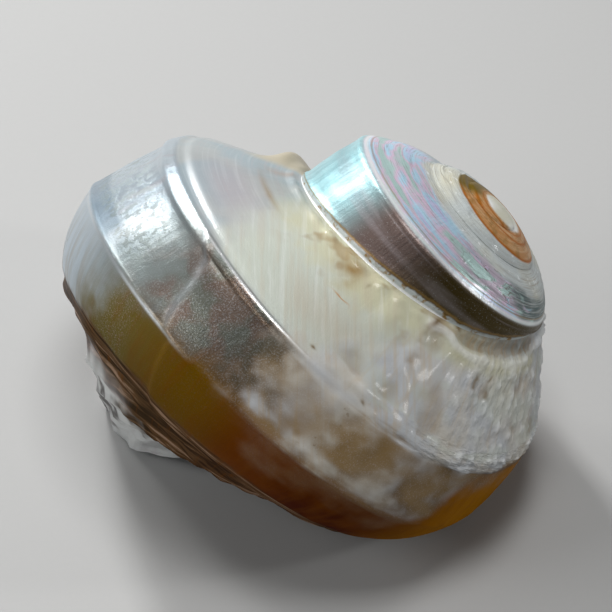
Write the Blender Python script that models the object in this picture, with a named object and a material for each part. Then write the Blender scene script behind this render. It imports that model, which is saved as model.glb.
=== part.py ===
"""Imperial turban shell, at its real size, lying on its opening. Metres, +Z up.

The shell is one grown piece. Its wall is swept round the axis of coiling: at each step of growth
a section through the whorl is drawn from a few landmarks (suture, keel, side, corner, base), and
the section grows by the same share each turn. Turns are counted back from the whorl's left side,
so 0 is there, 1 is one whorl earlier and the lip lies a little below 0. In its own frame the
shell's axis is Z with the apex at the top; the last step lays it on the table.
"""

import math

import bmesh
import bpy
from mathutils import Matrix, Vector

# Growth of the coil
WHORL_GROWTH = 1.822         # each turn is this much wider than the one before
KEEL_RADIUS = 0.0475         # axis to keel on the left side of the last whorl
SPIRE_DROP = 0.0253          # apex down to the keel on a shell that only widens
SPIRE_POWER = 1.675          # above 1 the spire is a dome and not a cone
CROWN = 0.0018               # how far the worn top swells above that dome
CROWN_RADIUS = 0.0130
LAST_WHORL_DROP = 0.0108     # the last whorl slips down by this
SLIP_START, SLIP_LENGTH = 0.83, 0.51   # turns
APEX_TURN = 4.0              # earlier whorls are worn away
APEX_POINT = 0.0006          # radius within which the wall runs together at the apex

# Section of a whorl, as shares of its keel radius
CORNER_RADIUS = 1.0
CORNER_DROP = 1.42
FLARE_RADIUS, FLARE_DROP = 0.025, 0.15 # added to the corner towards the lip
FLARE_START, FLARE_LENGTH = 0.25, 0.49
SIDE_SWELL = 0.069
COLUMELLA_DROP = 1.56
BASE_SWELL = 0.285
KEEL_ROUNDING = (0.26, 0.12, 0.265)    # one turn back, half a turn back, at the left side
RAMP_SWELL = (0.030, 0.004, 0.004)
CORNER_ROUNDING_UP, CORNER_ROUNDING_DOWN = 0.95, 0.29

# Where the next whorl is laid on this one: it slides down the side towards the lip
SLIDE_START = 0.71           # turns
SLIDE_EASE = 10.0
SUTURE_SECTION, SUTURE_PER_SLIDE, SUTURE_LOWEST = 1.64, 1.45, 3.60
GUIDE_SHARE, GUIDE_PER_SLIDE = 0.02, 0.63

# A lump of shell on the ramp by the suture
LUMP_TURN, LUMP_SECTION = -0.072, 0.22
LUMP_HEIGHT, LUMP_TURNS_WIDE, LUMP_SECTIONS_WIDE = 0.0034, 0.03, 0.22

# Lying on the table: turned on its axis, leant over and swung round
SPIN = math.radians(-41.19)
LEAN = math.radians(49.41)
HEADING = math.radians(14.54)
FLAT_SPOT = 0.0005           # worn off the belly where it touches the table

# The room inside
ROOM_SHARE = 0.87            # of the whorl's section
ROOM_DEPTH = 1.1             # turns back from the left side
ROOM_SMOOTHINGS = 2
MOUTH_START = 0.25           # from here on growth lines lean over towards the lip
TIP_ROWS, TIP_DRAWN_BACK = 3, 0.17     # the columella's tip stays off the table

# Mesh
STEPS = 48                   # in one turn
RAMP_ROWS, SIDE_ROWS, BASE_ROWS = 4, 7, 9
LIP_STEP = -21               # the step at which the suture reaches the table
WELD = 0.00001

COLOUR = (0.72, 0.66, 0.58, 1.0)
ROUGHNESS = 0.28
METALLIC = 0.0


def smooth_step(x):
    x = min(max(x, 0.0), 1.0)
    return x * x * (3.0 - 2.0 * x)


def along_whorl(turn, values):
    """Blend between the values for one turn back, half a turn back and the left side."""
    early, middle, late = values
    if turn >= 0.5:
        return middle + (early - middle) * smooth_step((turn - 0.5) / 0.5)
    return late + (middle - late) * smooth_step(turn / 0.5)


def quadratic(start, control, end, t):
    return start.lerp(control, t).lerp(control.lerp(end, t), t)


def slide(turn):
    """How far down the whorl before the suture has slid, easing in from 0."""
    return math.log1p(math.exp(SLIDE_EASE * (SLIDE_START - turn))) / SLIDE_EASE


def keel_radius(turn):
    return KEEL_RADIUS * WHORL_GROWTH ** -turn


def keel(turn):
    """(distance from the axis, height under the apex) of the keel, before it is rounded."""
    radius = keel_radius(turn)
    dome = SPIRE_DROP * (radius / KEEL_RADIUS) ** SPIRE_POWER
    slip = LAST_WHORL_DROP * smooth_step((SLIP_START - turn) / SLIP_LENGTH)
    crown = CROWN * math.exp(-((radius / CROWN_RADIUS) ** 2))
    return Vector((radius, crown - dome - slip))


def flare(turn):
    return smooth_step((FLARE_START - turn) / FLARE_LENGTH)


def corner(turn):
    radius = keel_radius(turn)
    out = CORNER_RADIUS + FLARE_RADIUS * flare(turn)
    down = CORNER_DROP + FLARE_DROP * flare(turn)
    return Vector((out * radius, -down * radius))


def side(turn):
    swell = Vector((SIDE_SWELL * keel_radius(turn), 0.0))
    return keel(turn).lerp(corner(turn), 0.5) + swell


def columella(turn):
    return Vector((0.0, -COLUMELLA_DROP * keel_radius(turn)))


def suture_guide(turn):
    """The ramp's upper end before the earlier whorl is rounded; it only aims the keel's rounding."""
    share = min(GUIDE_SHARE + GUIDE_PER_SLIDE * slide(turn), 1.0)
    upper, lower = keel(turn + 1.0), corner(turn + 1.0)
    control = 2.0 * side(turn + 1.0) - upper.lerp(lower, 0.5)
    return quadratic(upper, control, lower, share)


def suture_section(turn):
    """Section number on the earlier whorl at which this whorl is laid on it."""
    return min(SUTURE_SECTION + SUTURE_PER_SLIDE * slide(turn), SUTURE_LOWEST)


def suture(turn):
    return section_point(turn + 1.0, suture_section(turn))


def keel_arc(turn):
    tip = keel(turn)
    rounding = along_whorl(turn, KEEL_ROUNDING)
    return tip.lerp(suture_guide(turn), rounding), tip, tip.lerp(side(turn), 0.82 * rounding)


def corner_arc(turn):
    tip = corner(turn)
    upper = tip.lerp(side(turn), CORNER_ROUNDING_UP)
    return upper, tip, tip.lerp(columella(turn), CORNER_ROUNDING_DOWN)


def section_point(turn, number):
    """Point of a section. 0 to 1 is the ramp, then the keel, the side, the corner and the base."""
    if turn >= APEX_TURN:
        return Vector((0.0, keel(APEX_TURN).y))
    piece = min(int(number), 4)
    t = number - piece
    radius = keel_radius(turn)
    if piece == 0:
        start, end = suture(turn), keel_arc(turn)[0]
        out = Vector((start.y - end.y, end.x - start.x)).normalized()
        swell = 2.0 * along_whorl(turn, RAMP_SWELL) * radius
        point = quadratic(start, start.lerp(end, 0.5) + swell * out, end, t)
    elif piece == 1:
        point = quadratic(*keel_arc(turn), t)
    elif piece == 2:
        start, end = keel_arc(turn)[2], corner_arc(turn)[0]
        middle = side(turn)
        point = quadratic(start, middle + 0.5 * (middle - start.lerp(end, 0.5)), end, t)
    elif piece == 3:
        point = quadratic(*corner_arc(turn), t)
    else:
        start, end = corner_arc(turn)[2], columella(turn)
        control = start.lerp(end, 0.5) - Vector((0.0, BASE_SWELL * radius))
        return quadratic(start, control, end, t)
    worn = smooth_step(APEX_TURN - turn)
    top = keel(APEX_TURN).y
    if point.x * worn < APEX_POINT:
        return Vector((0.0, top))
    return Vector((point.x * worn, top + (point.y - top) * worn))


def lump(turn, number):
    turns_off = (turn - LUMP_TURN) / LUMP_TURNS_WIDE
    sections_off = (number - LUMP_SECTION) / LUMP_SECTIONS_WIDE
    clear_of_suture = smooth_step(number / LUMP_SECTION)
    return LUMP_HEIGHT * clear_of_suture * math.exp(-(turns_off ** 2) - sections_off ** 2)


def in_space(turn, point):
    """A section's point turned about the axis and laid over as the shell lies on the table."""
    angle = math.pi + 2.0 * math.pi * turn
    upright = Vector((point.x * math.cos(angle), point.x * math.sin(angle), point.y))
    return LYING @ upright


def wall_point(turn, number):
    point = section_point(turn, number)
    raised = lump(turn, number)
    return in_space(turn, point + Vector((0.6 * raised, 0.8 * raised)))


LYING = (
    Matrix.Rotation(HEADING, 3, "Z") @ Matrix.Rotation(LEAN, 3, "Y") @ Matrix.Rotation(SPIN, 3, "Z")
)


def row_number(row, turn):
    """Section number of a row of the mesh: the rows down to the next whorl's suture, then the base."""
    covered = suture_section(turn - 1.0)
    if row <= RAMP_ROWS:
        return row / RAMP_ROWS
    if row <= RAMP_ROWS + SIDE_ROWS:
        return 1.0 + (covered - 1.0) * (row - RAMP_ROWS) / SIDE_ROWS
    return covered + (5.0 - covered) * (row - RAMP_ROWS - SIDE_ROWS) / BASE_ROWS


SUTURE_ROW = RAMP_ROWS + SIDE_ROWS
LAST_ROW = SUTURE_ROW + BASE_ROWS
MOUTH_LINES = LAST_ROW - TIP_ROWS      # lines of the room that end on the table


def table_height():
    """Height of the table: it takes the flat spot off the belly of the last whorl."""
    turns = [0.3 + 0.7 * i / 120 for i in range(121)]
    numbers = [2.0 + 2.0 * i / 40 for i in range(41)]
    lowest = min(wall_point(turn, number).z for turn in turns for number in numbers)
    return lowest + FLAT_SPOT


def reach(place, table):
    """Turn at which place(turn), followed along its growth, comes down to the table."""
    step = 1.0 / 240
    turn = MOUTH_START
    while place(turn).z > table and turn > -0.7:
        turn -= step
    high, low = turn + step, turn
    for _ in range(30):
        middle = (high + low) / 2
        if place(middle).z > table:
            high = middle
        else:
            low = middle
    return (high + low) / 2


def leaning_turn(turn, end):
    """Turn of a growth line on a row that ends at the turn end and not at the suture's."""
    if turn >= MOUTH_START:
        return turn
    share = (MOUTH_START - turn) / (MOUTH_START - LIP_STEP / STEPS)
    return MOUTH_START + (end - MOUTH_START) * share


def new_chain(bm, points, closed=False):
    verts = [bm.verts.new(point) for point in points]
    pairs = list(zip(verts, verts[1:]))
    if closed:
        pairs.append((verts[-1], verts[0]))
    for pair in pairs:
        bm.edges.new(pair)
    return verts


def chain_edges(bm, verts, closed=False):
    pairs = list(zip(verts, verts[1:]))
    if closed:
        pairs.append((verts[-1], verts[0]))
    return [bm.edges.get(pair) for pair in pairs]


def grow(bm, chain, points, closed=False):
    """Extrude a chain of edges by one step of growth and put its new vertices in their places."""
    made = bmesh.ops.extrude_edge_only(bm, edges=chain_edges(bm, chain, closed))
    fresh = {item for item in made["geom"] if isinstance(item, bmesh.types.BMVert)}
    grown = []
    for vert, point in zip(chain, points):
        twin = next(edge.other_vert(vert) for edge in vert.link_edges if edge.other_vert(vert) in fresh)
        twin.co = point
        grown.append(twin)
    return grown


def lip_ends(table):
    """Turn at which each row of the outer wall ends at the lip."""
    ends = [LIP_STEP / STEPS]
    for row in range(1, LAST_ROW + 1):
        ends.append(reach(lambda turn, row=row: wall_point(turn, row_number(row, turn)), table))
    for i in range(1, TIP_ROWS + 1):
        ends[LAST_ROW - TIP_ROWS + i] = ends[LAST_ROW - TIP_ROWS] + TIP_DRAWN_BACK * (i / TIP_ROWS) ** 2
    return ends


def outer_wall(bm, table):
    """Sweep the whorls and the last whorl's base; return the loop round the opening."""
    ends = lip_ends(table)

    def wall(step, row):
        turn = leaning_turn(step / STEPS, ends[row])
        return wall_point(turn, row_number(row, turn))

    first = int(APEX_TURN * STEPS)
    base_first = STEPS + LIP_STEP
    rows = list(range(SUTURE_ROW + 1))
    chain = new_chain(bm, [wall(first, row) for row in rows])
    for step in range(first - 1, base_first - 1, -1):
        chain = grow(bm, chain, [wall(step, row) for row in rows])
    base = new_chain(bm, [wall(base_first, row) for row in range(SUTURE_ROW + 1, LAST_ROW + 1)])
    bm.edges.new((chain[-1], base[0]))
    chain = chain + base
    parietal = chain[SUTURE_ROW:]
    axis = [chain[-1]]
    for step in range(base_first - 1, LIP_STEP - 1, -1):
        chain = grow(bm, chain, [wall(step, row) for row in range(LAST_ROW + 1)])
        axis.append(chain[-1])
    for vert in chain[:-TIP_ROWS]:
        vert.co.z = table
    bmesh.ops.weld_verts(bm, targetmap={parietal[0]: chain[0]})
    return chain + axis[-2::-1] + parietal[-2:0:-1]


def room_outline(turn):
    """The closed outline of the room inside a whorl, in its half plane through the axis."""
    outer = [section_point(turn, row_number(row, turn)) for row in range(LAST_ROW + 1)]
    inner = [
        section_point(turn + 1.0, row_number(row, turn + 1.0))
        for row in range(LAST_ROW, SUTURE_ROW, -1)
    ]
    outline = outer + inner
    centre = sum(outline, Vector((0.0, 0.0))) / len(outline)
    outline = [centre + ROOM_SHARE * (point - centre) for point in outline]
    for _ in range(ROOM_SMOOTHINGS):
        outline = [
            (outline[i - 1] + 2.0 * point + outline[(i + 1) % len(outline)]) / 4.0
            for i, point in enumerate(outline)
        ]
    return outline


def mouth_ends(table):
    """Turn at which each line of the room ends: on the table, and drawn back at the columella."""
    count = len(room_outline(0.0))
    ends = []
    for i in range(MOUTH_LINES):
        ends.append(reach(lambda turn, i=i: in_space(turn, room_outline(turn)[i]), table))
    drawn_back = count - MOUTH_LINES
    for i in range(1, drawn_back + 1):
        ends.append(ends[MOUTH_LINES - 1] + (ends[0] - ends[MOUTH_LINES - 1]) * i / (drawn_back + 1))
    return ends


def inner_wall(bm, table):
    """Sweep the room from its inner end to the mouth; return the loop at the mouth."""
    ends = mouth_ends(table)

    def room(step):
        turn = step / STEPS
        if turn >= MOUTH_START:
            return [in_space(turn, point) for point in room_outline(turn)]
        turns = [leaning_turn(turn, end) for end in ends]
        return [in_space(own, room_outline(own)[i]) for i, own in enumerate(turns)]

    first = int(ROOM_DEPTH * STEPS)
    chain = new_chain(bm, room(first), closed=True)
    bm.faces.new(chain)
    for step in range(first - 1, LIP_STEP - 1, -1):
        chain = grow(bm, chain, room(step), closed=True)
    for vert in chain[:MOUTH_LINES]:
        vert.co.z = table
    return chain


def lace(bm, outer, inner):
    """Join two loops that start side by side, always along the shorter diagonal."""
    outer, inner = outer + outer[:1], inner + inner[:1]
    i, j = 0, 0
    while i + 1 < len(outer) or j + 1 < len(inner):
        along_outer = along_inner = math.inf
        if i + 1 < len(outer):
            along_outer = (outer[i + 1].co - inner[j].co).length
        if j + 1 < len(inner):
            along_inner = (inner[j + 1].co - outer[i].co).length
        if along_outer < along_inner:
            bm.faces.new((outer[i], outer[i + 1], inner[j]))
            i += 1
        else:
            bm.faces.new((outer[i], inner[j + 1], inner[j]))
            j += 1


def wear_flat_spot(bm, table):
    """Cut off what hangs below the table, which is only the belly of the last whorl."""
    low = [face for face in bm.faces if min(vert.co.z for vert in face.verts) < table - WELD]
    around = {edge for face in low for edge in face.edges} | {vert for face in low for vert in face.verts}
    cut = bmesh.ops.bisect_plane(
        bm, geom=low + list(around), dist=WELD, plane_co=(0.0, 0.0, table),
        plane_no=(0.0, 0.0, -1.0), clear_outer=True,
    )
    rim = [item for item in cut["geom_cut"] if isinstance(item, bmesh.types.BMEdge)]
    bmesh.ops.holes_fill(bm, edges=[edge for edge in rim if edge.is_boundary])
    bmesh.ops.dissolve_degenerate(bm, edges=bm.edges, dist=WELD)


def seat(bm, table):
    """Put the table at height 0 and the middle of the shell's box over the origin."""
    middle = [
        (min(vert.co[i] for vert in bm.verts) + max(vert.co[i] for vert in bm.verts)) / 2
        for i in (0, 1)
    ]
    bmesh.ops.translate(bm, vec=(-middle[0], -middle[1], -table), verts=bm.verts)


def build_shell():
    bm = bmesh.new()
    table = table_height()
    outer = outer_wall(bm, table)
    mouth = inner_wall(bm, table)
    lace(bm, outer, mouth)
    bmesh.ops.remove_doubles(bm, verts=bm.verts, dist=WELD)
    bmesh.ops.recalc_face_normals(bm, faces=bm.faces)
    wear_flat_spot(bm, table)
    seat(bm, table)
    return bm


def shell_material():
    material = bpy.data.materials.new("shell")
    material.use_nodes = True
    surface = material.node_tree.nodes["Principled BSDF"]
    surface.inputs["Base Color"].default_value = COLOUR
    surface.inputs["Roughness"].default_value = ROUGHNESS
    surface.inputs["Metallic"].default_value = METALLIC
    return material


def main():
    for item in list(bpy.data.objects):
        bpy.data.objects.remove(item, do_unlink=True)
    collection = bpy.data.collections.new("imperial_turban_shell")
    bpy.context.scene.collection.children.link(collection)
    bm = build_shell()
    mesh = bpy.data.meshes.new("shell")
    bm.to_mesh(mesh)
    bm.free()
    mesh.materials.append(shell_material())
    mesh.shade_smooth()
    shell = bpy.data.objects.new("shell", mesh)
    collection.objects.link(shell)


main()
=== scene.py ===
"""Imperial turban shell: its grown surface, its mother of pearl, chalk and amber, and a plain studio."""
import math

import bmesh
import bpy
import numpy as np
from mathutils import Matrix, Vector, noise


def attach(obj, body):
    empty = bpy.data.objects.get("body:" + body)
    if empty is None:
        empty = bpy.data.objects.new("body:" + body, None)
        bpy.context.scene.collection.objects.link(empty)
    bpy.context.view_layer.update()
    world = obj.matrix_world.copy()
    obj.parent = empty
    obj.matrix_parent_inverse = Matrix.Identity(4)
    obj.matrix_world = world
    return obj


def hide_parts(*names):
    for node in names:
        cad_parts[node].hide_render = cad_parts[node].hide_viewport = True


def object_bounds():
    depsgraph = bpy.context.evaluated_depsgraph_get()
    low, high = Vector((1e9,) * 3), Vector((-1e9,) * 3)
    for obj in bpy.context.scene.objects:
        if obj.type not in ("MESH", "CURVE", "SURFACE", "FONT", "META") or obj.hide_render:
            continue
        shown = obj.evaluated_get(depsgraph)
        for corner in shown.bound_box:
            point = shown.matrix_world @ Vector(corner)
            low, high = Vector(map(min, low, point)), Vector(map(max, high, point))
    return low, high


bl_info = {
    "name": "Imperial turban shell",
    "version": (1, 0, 0),
    "blender": (4, 5, 0),
    "location": "3D View > Sidebar > Shell",
    "description": "Grows a turban shell round its axis and gives it nacre, chalk and amber",
    "category": "Add Mesh",
}

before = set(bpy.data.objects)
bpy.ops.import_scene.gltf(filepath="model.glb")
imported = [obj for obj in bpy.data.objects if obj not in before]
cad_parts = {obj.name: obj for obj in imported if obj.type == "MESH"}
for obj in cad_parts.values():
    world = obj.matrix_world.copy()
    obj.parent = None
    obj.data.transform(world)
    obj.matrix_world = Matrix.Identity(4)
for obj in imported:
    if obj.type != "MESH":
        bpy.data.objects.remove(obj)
CAD_LOW, CAD_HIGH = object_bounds()

# A place on the wall is a turn and a section number. Turns run from the lip, at a little under 0, back to
# the apex. Numbers run 0 to 1 down the ramp, 1 to 2 over the keel, 2 to 3 down the side, 3 to 4 round the
# corner and 4 to 5 over the base. The ranges given to rise, within and swell are such turns and numbers.

# Growth of the coil, as in the solid
WHORL_GROWTH = 1.822
KEEL_RADIUS = 0.0475
SPIRE_DROP, SPIRE_POWER = 0.0253, 1.675
CROWN, CROWN_RADIUS = 0.0018, 0.0130
LAST_WHORL_DROP, SLIP_START, SLIP_LENGTH = 0.0108, 0.83, 0.51
APEX_TURN, APEX_POINT = 4.0, 0.0006

# Section of a whorl, as shares of its keel radius
CORNER_RADIUS, CORNER_DROP = 1.0, 1.42
FLARE_RADIUS, FLARE_DROP, FLARE_START, FLARE_LENGTH = 0.025, 0.15, 0.25, 0.49
SIDE_SWELL, COLUMELLA_DROP, BASE_SWELL = 0.069, 1.56, 0.285
KEEL_ROUNDING = (0.26, 0.12, 0.265)    # on an early whorl, half a turn back and at the mouth
RAMP_SWELL = (0.030, 0.004, 0.004)     # the same
KEEL_ROUNDING_DOWN = 0.82              # of that above the keel
HALF_TURN = 0.5
CORNER_ROUNDING_UP, CORNER_ROUNDING_DOWN = 0.95, 0.29
SLIDE_START, SLIDE_EASE = 0.71, 10.0
SUTURE_SECTION, SUTURE_PER_SLIDE, SUTURE_LOWEST = 1.64, 1.45, 3.60
GUIDE_SHARE, GUIDE_PER_SLIDE = 0.02, 0.63

# A lump of shell on the ramp by the suture
LUMP_TURN, LUMP_SECTION = -0.072, 0.26
LUMP_HEIGHT, LUMP_TURNS_WIDE, LUMP_SECTIONS_WIDE = 0.0032, 0.034, 0.22
LUMP_LEAN = np.array((0.84, 0.54))

# Lying on the table
SPIN, LEAN, HEADING = math.radians(-41.19), math.radians(49.41), math.radians(14.54)
FLAT_SPOT = 0.0005
MOUTH_START, LIP_TURN = 0.25, -0.4375
TIP_DRAWN_BACK = 0.17
ROOM_SHARE, ROOM_DEPTH, ROOM_SMOOTHINGS = 0.87, 1.1, 18
PAST_LIP = 0.26                        # turns searched past the lip for where a line meets the table
SEARCH_STEPS, HALVINGS = 240, 24       # in one turn, then of the step found

# Rows of the mesh across a whorl, and steps in one turn
RAMP_ROWS, SIDE_ROWS, BASE_ROWS = 30, 46, 26
STEPS, SPIRE_STEPS, ROOM_STEPS = 432, 216, 54
SPIRE_TURN = 1.0
SIDE_SHARES = (0.0, 4 / 46, 14 / 46, 27 / 46, 28 / 46, 34 / 46, 1.0)     # closest on the keel and the cord
SIDE_SPREAD = (0.0, 0.135, 0.365, 0.677, 0.785, 0.865, 1.0)
SHOULDER = (2.76, 2.9, 3.04)           # the middle of the cord there and the rows kept beside it
SHOULDER_CLEARANCE = 0.06
SUTURE_ROW = RAMP_ROWS + SIDE_ROWS
LAST_ROW = SUTURE_ROW + BASE_ROWS
TIP_ROWS = 9
BASE_TURN = 1.0 + LIP_TURN
TURN_NUDGE, SECTION_NUDGE = 0.002, 0.01
AT_EDGE = 0.2                          # of a step
WELD = 0.000002
MM, CM = 1000.0, 100.0                 # in a metre


def smooth_step(x):
    x = np.clip(x, 0.0, 1.0)
    return x * x * (3.0 - 2.0 * x)


def rise(x, low, high):
    """0 below low, 1 above high, easing between them."""
    return smooth_step((x - low) / (high - low))


def within(x, low, full, falling, high):
    """1 from full to falling, easing to 0 at low and at high."""
    return rise(x, low, full) * rise(x, high, falling)


def swell(x, middle, width):
    """1 at the middle, fading to 0 over a few widths."""
    return np.exp(-(((x - middle) / width) ** 2))


def pair(x, y):
    return np.stack(np.broadcast_arrays(x, y), -1)


def between(start, end, t):
    return start + (end - start) * np.asarray(t)[..., None]


def quadratic(start, control, end, t):
    return between(between(start, control, t), between(control, end, t), t)


def along_whorl(turn, values):
    early, middle, late = values
    older = middle + (early - middle) * smooth_step((turn - HALF_TURN) / HALF_TURN)
    newer = late + (middle - late) * smooth_step(turn / HALF_TURN)
    return np.where(turn >= HALF_TURN, older, newer)


def slide(turn):
    """How far down the whorl before the suture has slid, easing in from 0."""
    return np.log1p(np.exp(SLIDE_EASE * (SLIDE_START - turn))) / SLIDE_EASE


def keel_radius(turn):
    return KEEL_RADIUS * WHORL_GROWTH ** -turn


def keel(turn):
    radius = keel_radius(turn)
    dome = SPIRE_DROP * (radius / KEEL_RADIUS) ** SPIRE_POWER
    slip = LAST_WHORL_DROP * smooth_step((SLIP_START - turn) / SLIP_LENGTH)
    return pair(radius, CROWN * np.exp(-((radius / CROWN_RADIUS) ** 2)) - dome - slip)


def corner(turn):
    radius = keel_radius(turn)
    flare = smooth_step((FLARE_START - turn) / FLARE_LENGTH)
    out, down = CORNER_RADIUS + FLARE_RADIUS * flare, CORNER_DROP + FLARE_DROP * flare
    return pair(out * radius, -down * radius)


def side(turn):
    middle = (keel(turn) + corner(turn)) / 2.0
    return middle + pair(SIDE_SWELL * keel_radius(turn), 0.0)


def columella(turn):
    return pair(0.0, -COLUMELLA_DROP * keel_radius(turn))


def suture_section(turn):
    return np.minimum(SUTURE_SECTION + SUTURE_PER_SLIDE * slide(turn), SUTURE_LOWEST)


def keel_arc(turn):
    share = np.minimum(GUIDE_SHARE + GUIDE_PER_SLIDE * slide(turn), 1.0)
    upper, lower = keel(turn + 1.0), corner(turn + 1.0)
    guide = quadratic(upper, 2.0 * side(turn + 1.0) - (upper + lower) / 2.0, lower, share)
    tip, rounding = keel(turn), along_whorl(turn, KEEL_ROUNDING)
    return between(tip, guide, rounding), tip, between(tip, side(turn), KEEL_ROUNDING_DOWN * rounding)


def corner_arc(turn):
    tip = corner(turn)
    upper = between(tip, side(turn), np.full_like(turn, CORNER_ROUNDING_UP))
    return upper, tip, between(tip, columella(turn), np.full_like(turn, CORNER_ROUNDING_DOWN))


def worn_down(turn, point):
    """Earlier whorls run together at the apex."""
    worn = smooth_step(APEX_TURN - turn)
    top = keel(np.float64(APEX_TURN))[1]
    out = point[..., 0] * worn
    clear = out >= APEX_POINT
    return pair(np.where(clear, out, 0.0), np.where(clear, top + (point[..., 1] - top) * worn, top))


def under_ramp(turn, number):
    """Point of a section from the keel down: number 1 to 5."""
    arc, bend = keel_arc(turn), corner_arc(turn)
    middle = side(turn)
    start, end = bend[2], columella(turn)
    radius = keel_radius(turn)
    base = quadratic(start, (start + end) / 2.0 - pair(0.0, BASE_SWELL * radius), end, number - 4.0)
    flank = quadratic(arc[2], 1.5 * middle - (arc[2] + bend[0]) / 4.0, bend[0], number - 2.0)
    pieces = [quadratic(*arc, number - 1.0), flank, quadratic(*bend, number - 3.0)]
    worn = [worn_down(turn, piece) for piece in pieces]
    which = np.clip(number.astype(int) - 1, 0, 3)[..., None]
    return np.choose(which, worn + [base])


def section_point(turn, number):
    """Point of a section. 0 to 1 is the ramp, then the keel, the side, the corner and the base."""
    lower = under_ramp(turn, np.maximum(number, 1.0))
    start = under_ramp(turn + 1.0, suture_section(turn))
    start[turn + 1.0 >= APEX_TURN] = (0.0, keel(np.float64(APEX_TURN))[1])
    end = keel_arc(turn)[0]
    out = pair(start[..., 1] - end[..., 1], end[..., 0] - start[..., 0])
    out = out / np.maximum(np.linalg.norm(out, axis=-1, keepdims=True), 1e-9)
    lift = 2.0 * along_whorl(turn, RAMP_SWELL) * keel_radius(turn)
    ramp = worn_down(turn, quadratic(start, (start + end) / 2.0 + lift[..., None] * out, end, number))
    point = np.where((number < 1.0)[..., None], ramp, lower)
    point[turn >= APEX_TURN] = (0.0, keel(np.float64(APEX_TURN))[1])
    return point


LYING = np.array(
    Matrix.Rotation(HEADING, 3, "Z") @ Matrix.Rotation(LEAN, 3, "Y") @ Matrix.Rotation(SPIN, 3, "Z")
)


def in_space(turn, point):
    angle = math.pi + 2.0 * math.pi * turn
    upright = np.stack([point[..., 0] * np.cos(angle), point[..., 0] * np.sin(angle), point[..., 1]], -1)
    return upright @ LYING.T


def lump(turn, number):
    turns_off = (turn - LUMP_TURN) / LUMP_TURNS_WIDE
    sections_off = (number - LUMP_SECTION) / LUMP_SECTIONS_WIDE
    return LUMP_HEIGHT * smooth_step(number / LUMP_SECTION) * np.exp(-(turns_off ** 2) - sections_off ** 2)


def wall_point(turn, number):
    return in_space(turn, section_point(turn, number) + lump(turn, number)[..., None] * LUMP_LEAN)


def outward(turn, number):
    """Direction straight out of the wall."""
    along = wall_point(turn + TURN_NUDGE, number) - wall_point(turn - TURN_NUDGE, number)
    below, above = np.minimum(number + SECTION_NUDGE, 5.0), np.maximum(number - SECTION_NUDGE, 0.0)
    normal = np.cross(wall_point(turn, below) - wall_point(turn, above), along)
    return normal / np.maximum(np.linalg.norm(normal, axis=-1, keepdims=True), 1e-12)


def covered_section(turn):
    """Section number at which the next whorl hides this one, or the columella on the last."""
    return np.where(turn > BASE_TURN, suture_section(turn - 1.0), 5.0)


def row_number(row, turn):
    covered = suture_section(turn - 1.0)
    ramp = row / RAMP_ROWS
    share = np.interp((row - RAMP_ROWS) / SIDE_ROWS, SIDE_SHARES, SIDE_SPREAD)
    flank = 1.0 + (covered - 1.0) * share
    above, middle, below = SHOULDER
    downwards = (flank > middle) & (covered > below + SHOULDER_CLEARANCE)
    clear = np.where(downwards, np.maximum(flank, below), np.minimum(flank, above))
    flank = np.where((flank > above) & (flank < below) & (row < SUTURE_ROW), clear, flank)
    base = covered + (5.0 - covered) * (row - SUTURE_ROW) / BASE_ROWS
    return np.where(row <= RAMP_ROWS, ramp, np.where(row <= SUTURE_ROW, flank, base))


def reach(place, count, table):
    """Turn at which each line of place(turn, line), followed along its growth, comes down to the table."""
    turns = np.arange(MOUTH_START, LIP_TURN - PAST_LIP, -1.0 / SEARCH_STEPS)
    lines = np.arange(count, dtype=float)
    heights = place(*np.meshgrid(turns, lines, indexing="ij"))[..., 2]
    first = np.argmax(heights <= table, axis=0)
    high, low = turns[first - 1], turns[first]
    for _ in range(HALVINGS):
        middle = (high + low) / 2.0
        above = place(middle, lines)[..., 2] > table
        high, low = np.where(above, middle, high), np.where(above, low, middle)
    return (high + low) / 2.0


def leaning_turn(turn, end):
    """Turn of a growth line on a row that ends at the turn end and not at the suture's."""
    share = (MOUTH_START - turn) / (MOUTH_START - LIP_TURN)
    return np.where(turn >= MOUTH_START, turn, MOUTH_START + (end - MOUTH_START) * share)


def table_height():
    turn, number = np.meshgrid(np.linspace(0.3, 1.0, 121), np.linspace(2.0, 4.0, 41))
    return wall_point(turn, number)[..., 2].min() + FLAT_SPOT


def lip_ends(table):
    ends = reach(lambda turn, row: wall_point(turn, row_number(row, turn)), LAST_ROW + 1, table)
    ends[0] = LIP_TURN
    back = np.arange(TIP_ROWS + 1) / TIP_ROWS
    ends[LAST_ROW - TIP_ROWS:] = ends[LAST_ROW - TIP_ROWS] + TIP_DRAWN_BACK * back ** 2
    return ends


def room_outline(turn):
    """Closed outlines of the room inside the whorl at each of the turns."""
    turns = turn[:, None]
    outer_rows, inner_rows = np.arange(LAST_ROW + 1.0), np.arange(LAST_ROW, SUTURE_ROW, -1.0)
    outer = section_point(turns + 0 * outer_rows, row_number(outer_rows, turns))
    inner = section_point(turns + 1.0 + 0 * inner_rows, row_number(inner_rows, turns + 1.0))
    outline = np.concatenate([outer, inner], axis=1)
    centre = outline.mean(axis=1, keepdims=True)
    outline = centre + ROOM_SHARE * (outline - centre)
    for _ in range(ROOM_SMOOTHINGS):
        outline = (np.roll(outline, 1, 1) + 2.0 * outline + np.roll(outline, -1, 1)) / 4.0
    return outline


def room_point(turn, line):
    """Point on one line of the room, for arrays of turns and lines."""
    flat_turn, flat_line = np.ravel(turn), np.ravel(line).astype(int)
    known, back = np.unique(flat_turn, return_inverse=True)
    outlines = room_outline(known)
    point = outlines[back, flat_line % outlines.shape[1]]
    return in_space(flat_turn, point).reshape(np.shape(turn) + (3,))


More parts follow.
